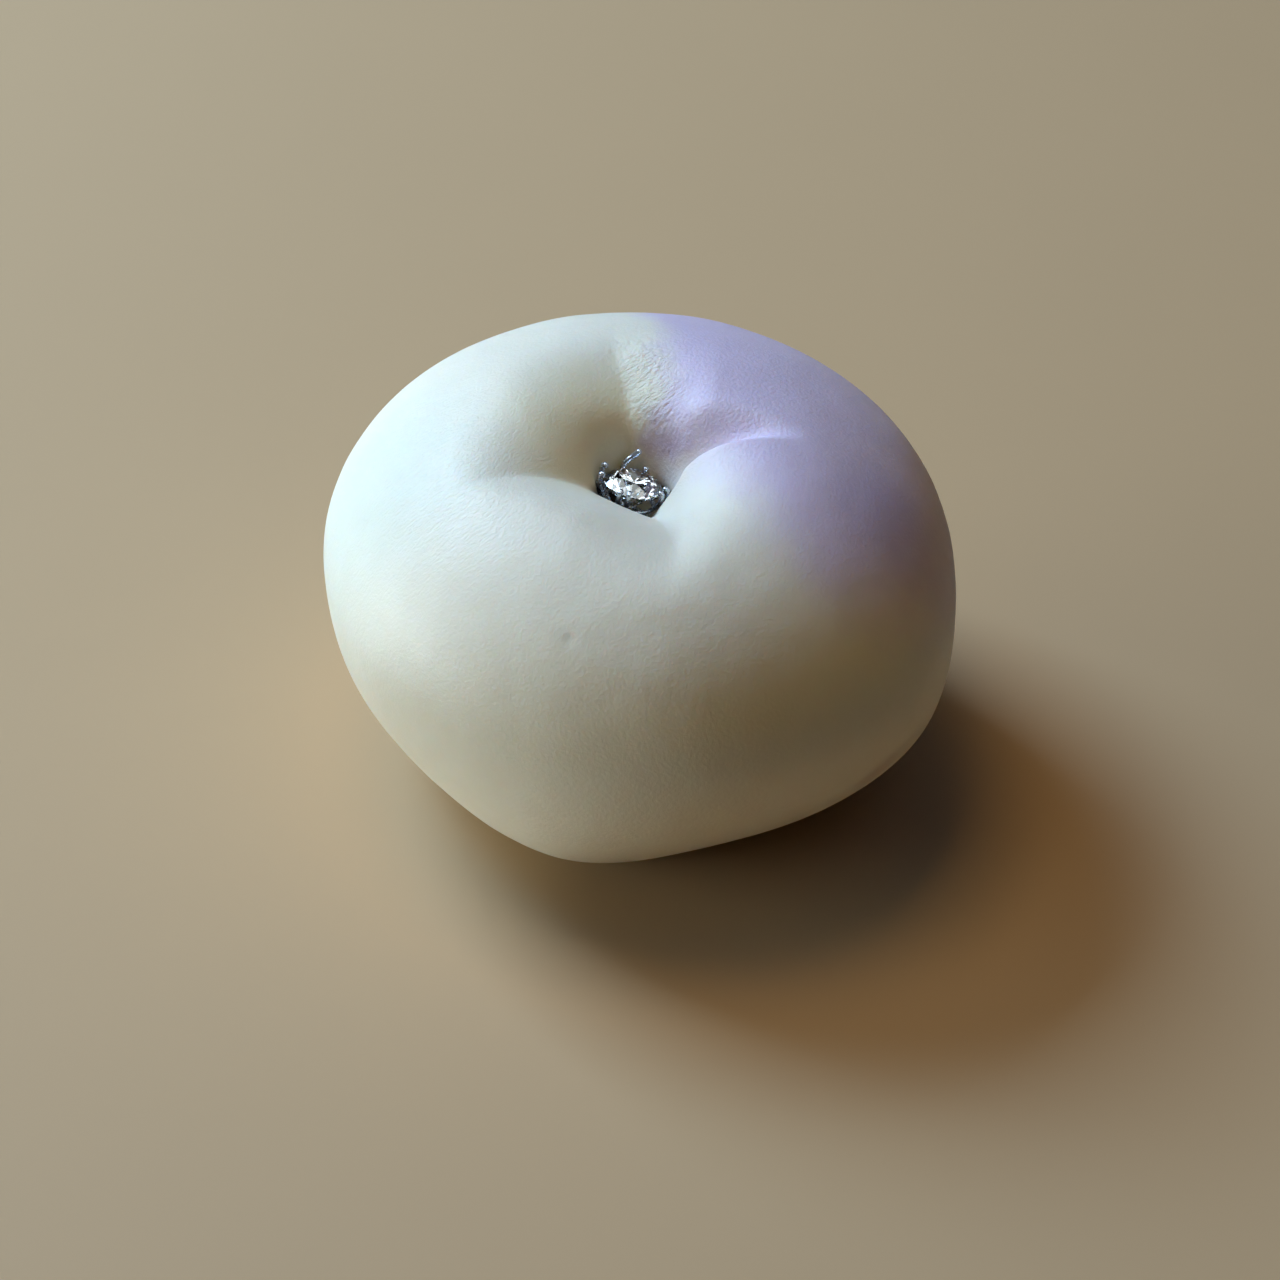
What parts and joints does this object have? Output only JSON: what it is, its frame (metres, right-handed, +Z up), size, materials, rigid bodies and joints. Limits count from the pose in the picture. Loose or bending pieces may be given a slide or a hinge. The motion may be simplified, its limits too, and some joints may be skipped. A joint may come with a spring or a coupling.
{
  "type": "namagashi sweet",
  "caption": "Round hand-shaped bean-paste sweet, pinched into soft lobes round a deep dimple that holds a small claw-set stone.",
  "frame": {"origin": "on the surface the sweet stands on, under the middle of its box", "axes": "+Z up; +X to the right and +Y away from the viewer, as the sweet is seen from the front"},
  "size_m": [0.0476, 0.048, 0.0318],
  "materials": {
    "dough": "satin white bean-paste dough, shaded lilac at the back right",
    "stone": "clear, faceted",
    "setting": "polished white metal"
  },
  "bodies": {
    "root": {"dough": "dough", "gem_stone": "stone", "gem_setting": "setting"}
  },
  "joints": []
}
